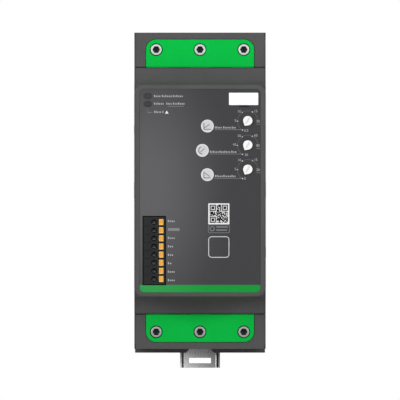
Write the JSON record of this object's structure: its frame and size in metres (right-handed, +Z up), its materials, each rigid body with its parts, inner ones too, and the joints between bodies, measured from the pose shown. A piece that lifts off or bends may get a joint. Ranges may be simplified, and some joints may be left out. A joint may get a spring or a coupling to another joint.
{
  "type": "soft starter",
  "caption": "Compact soft starter for a mounting rail: power terminals above and below a raised panel with trim knobs and a push-in control terminal.",
  "frame": {"origin": "centre of the face that seats on the mounting rail's flanges", "axes": "+X right along the rail, +Z up, the front faces -Y"},
  "size_m": [0.075, 0.1547, 0.1924],
  "materials": {
    "black_plastic": "fine moulded grain",
    "grey_plastic": "fine moulded grain",
    "green_plastic": "satin moulded plastic",
    "orange_plastic": "satin moulded plastic",
    "white_plastic": "satin moulded plastic",
    "blue_plastic": "satin moulded plastic",
    "zinc_steel": "bright zinc plating",
    "spring_steel": "drawn wire",
    "aluminium": "extruded and sawn",
    "copper": "bare copper",
    "label_film": "printed film",
    "dark_window": "smoked window",
    "board": "solder mask"
  },
  "bodies": {
    "housing": {"rear_base": "black_plastic", "main_housing": "grey_plastic", "front_cover": "grey_plastic", "top_terminal_shroud": "grey_plastic", "bottom_terminal_shroud": "grey_plastic", "top_terminal_block": "green_plastic", "bottom_terminal_block": "green_plastic", "rail_clip_spring": "spring_steel", "clamp_springs": "spring_steel", "heatsink": "aluminium", "housing_screws": "zinc_steel", "front_label": "label_film", "marker_plate": "white_plastic", "signal_window_1": "dark_window", "signal_window_2": "dark_window", "control_terminal": "black_plastic", "control_board": "board", "power_board": "board", "riser_board": "board", "trimmer_1": "blue_plastic", "thyristor_module_1": "black_plastic", "bypass_relay_1": "white_plastic", "line_busbar_1": "copper", "load_busbar_1": "copper", "trimmer_2": "blue_plastic", "thyristor_module_2": "black_plastic", "bypass_relay_2": "white_plastic", "line_busbar_2": "copper", "load_busbar_2": "copper", "trimmer_3": "blue_plastic", "thyristor_module_3": "black_plastic", "bypass_relay_3": "white_plastic", "line_busbar_3": "copper", "load_busbar_3": "copper"},
    "rail_clip": {"rail_clip": "zinc_steel"},
    "start_time_knob": {"start_time_knob": "white_plastic"},
    "start_level_knob": {"start_level_knob": "white_plastic"},
    "stop_time_knob": {"stop_time_knob": "white_plastic"},
    "line_screw_1": {"line_screw_1": "zinc_steel"},
    "line_cage_1": {"line_cage_1": "zinc_steel"},
    "line_screw_2": {"line_screw_2": "zinc_steel"},
    "line_cage_2": {"line_cage_2": "zinc_steel"},
    "line_screw_3": {"line_screw_3": "zinc_steel"},
    "line_cage_3": {"line_cage_3": "zinc_steel"},
    "load_screw_1": {"load_screw_1": "zinc_steel"},
    "load_cage_1": {"load_cage_1": "zinc_steel"},
    "load_screw_2": {"load_screw_2": "zinc_steel"},
    "load_cage_2": {"load_cage_2": "zinc_steel"},
    "load_screw_3": {"load_screw_3": "zinc_steel"},
    "load_cage_3": {"load_cage_3": "zinc_steel"},
    "release_button_1": {"release_button_1": "orange_plastic"},
    "release_button_2": {"release_button_2": "orange_plastic"},
    "release_button_3": {"release_button_3": "orange_plastic"},
    "release_button_4": {"release_button_4": "orange_plastic"},
    "release_button_5": {"release_button_5": "orange_plastic"},
    "release_button_6": {"release_button_6": "orange_plastic"},
    "release_button_7": {"release_button_7": "orange_plastic"},
    "release_button_8": {"release_button_8": "orange_plastic"}
  },
  "joints": [
    {"name": "rail_clip_slide", "type": "slide", "parent": "housing", "child": "rail_clip", "axis": [0, 0, -1], "range_m": [0, 0.006], "stiffness_N_per_m": 2500, "springref_m": -0.004, "deforming": ["rail_clip_spring"]},
    {"name": "start_time_knob_turn", "type": "hinge", "parent": "housing", "child": "start_time_knob", "pos_m": [0.0272, -0.147, 0.04145], "axis": [0, 1, 0], "range_deg": [0, 256]},
    {"name": "start_level_knob_turn", "type": "hinge", "parent": "housing", "child": "start_level_knob", "pos_m": [0.0272, -0.147, 0.0276], "axis": [0, 1, 0], "range_deg": [0, 256]},
    {"name": "stop_time_knob_turn", "type": "hinge", "parent": "housing", "child": "stop_time_knob", "pos_m": [0.0272, -0.147, 0.01375], "axis": [0, 1, 0], "range_deg": [0, 256]},
    {"name": "line_screw_1_turn", "type": "hinge", "parent": "housing", "child": "line_screw_1", "pos_m": [-0.025, -0.1213, 0.08215], "axis": [0, 1, 0], "range_deg": [0, 2700]},
    {"name": "line_cage_1_lift", "type": "slide", "parent": "housing", "child": "line_cage_1", "axis": [0, -1, 0], "range_m": [0, 0.006]},
    {"name": "line_screw_2_turn", "type": "hinge", "parent": "housing", "child": "line_screw_2", "pos_m": [0, -0.1213, 0.08215], "axis": [0, 1, 0], "range_deg": [0, 2700]},
    {"name": "line_cage_2_lift", "type": "slide", "parent": "housing", "child": "line_cage_2", "axis": [0, -1, 0], "range_m": [0, 0.006]},
    {"name": "line_screw_3_turn", "type": "hinge", "parent": "housing", "child": "line_screw_3", "pos_m": [0.025, -0.1213, 0.08215], "axis": [0, 1, 0], "range_deg": [0, 2700]},
    {"name": "line_cage_3_lift", "type": "slide", "parent": "housing", "child": "line_cage_3", "axis": [0, -1, 0], "range_m": [0, 0.006]},
    {"name": "load_screw_1_turn", "type": "hinge", "parent": "housing", "child": "load_screw_1", "pos_m": [-0.025, -0.1213, -0.07905], "axis": [0, 1, 0], "range_deg": [0, 2700]},
    {"name": "load_cage_1_lift", "type": "slide", "parent": "housing", "child": "load_cage_1", "axis": [0, -1, 0], "range_m": [0, 0.006]},
    {"name": "load_screw_2_turn", "type": "hinge", "parent": "housing", "child": "load_screw_2", "pos_m": [0, -0.1213, -0.07905], "axis": [0, 1, 0], "range_deg": [0, 2700]},
    {"name": "load_cage_2_lift", "type": "slide", "parent": "housing", "child": "load_cage_2", "axis": [0, -1, 0], "range_m": [0, 0.006]},
    {"name": "load_screw_3_turn", "type": "hinge", "parent": "housing", "child": "load_screw_3", "pos_m": [0.025, -0.1213, -0.07905], "axis": [0, 1, 0], "range_deg": [0, 2700]},
    {"name": "load_cage_3_lift", "type": "slide", "parent": "housing", "child": "load_cage_3", "axis": [0, -1, 0], "range_m": [0, 0.006]},
    {"name": "release_button_1_press", "type": "slide", "parent": "housing", "child": "release_button_1", "axis": [0, 1, 0], "range_m": [0, 0.0015], "stiffness_N_per_m": 1000, "springref_m": -0.0005},
    {"name": "release_button_2_press", "type": "slide", "parent": "housing", "child": "release_button_2", "axis": [0, 1, 0], "range_m": [0, 0.0015], "stiffness_N_per_m": 1000, "springref_m": -0.0005},
    {"name": "release_button_3_press", "type": "slide", "parent": "housing", "child": "release_button_3", "axis": [0, 1, 0], "range_m": [0, 0.0015], "stiffness_N_per_m": 1000, "springref_m": -0.0005},
    {"name": "release_button_4_press", "type": "slide", "parent": "housing", "child": "release_button_4", "axis": [0, 1, 0], "range_m": [0, 0.0015], "stiffness_N_per_m": 1000, "springref_m": -0.0005},
    {"name": "release_button_5_press", "type": "slide", "parent": "housing", "child": "release_button_5", "axis": [0, 1, 0], "range_m": [0, 0.0015], "stiffness_N_per_m": 1000, "springref_m": -0.0005},
    {"name": "release_button_6_press", "type": "slide", "parent": "housing", "child": "release_button_6", "axis": [0, 1, 0], "range_m": [0, 0.0015], "stiffness_N_per_m": 1000, "springref_m": -0.0005},
    {"name": "release_button_7_press", "type": "slide", "parent": "housing", "child": "release_button_7", "axis": [0, 1, 0], "range_m": [0, 0.0015], "stiffness_N_per_m": 1000, "springref_m": -0.0005},
    {"name": "release_button_8_press", "type": "slide", "parent": "housing", "child": "release_button_8", "axis": [0, 1, 0], "range_m": [0, 0.0015], "stiffness_N_per_m": 1000, "springref_m": -0.0005}
  ],
  "couplings": [
    {"joint": "line_screw_1_turn", "follows": "line_cage_1_lift", "rad_per_m": 7854},
    {"joint": "line_screw_2_turn", "follows": "line_cage_2_lift", "rad_per_m": 7854},
    {"joint": "line_screw_3_turn", "follows": "line_cage_3_lift", "rad_per_m": 7854},
    {"joint": "load_screw_1_turn", "follows": "load_cage_1_lift", "rad_per_m": 7854},
    {"joint": "load_screw_2_turn", "follows": "load_cage_2_lift", "rad_per_m": 7854},
    {"joint": "load_screw_3_turn", "follows": "load_cage_3_lift", "rad_per_m": 7854}
  ]
}
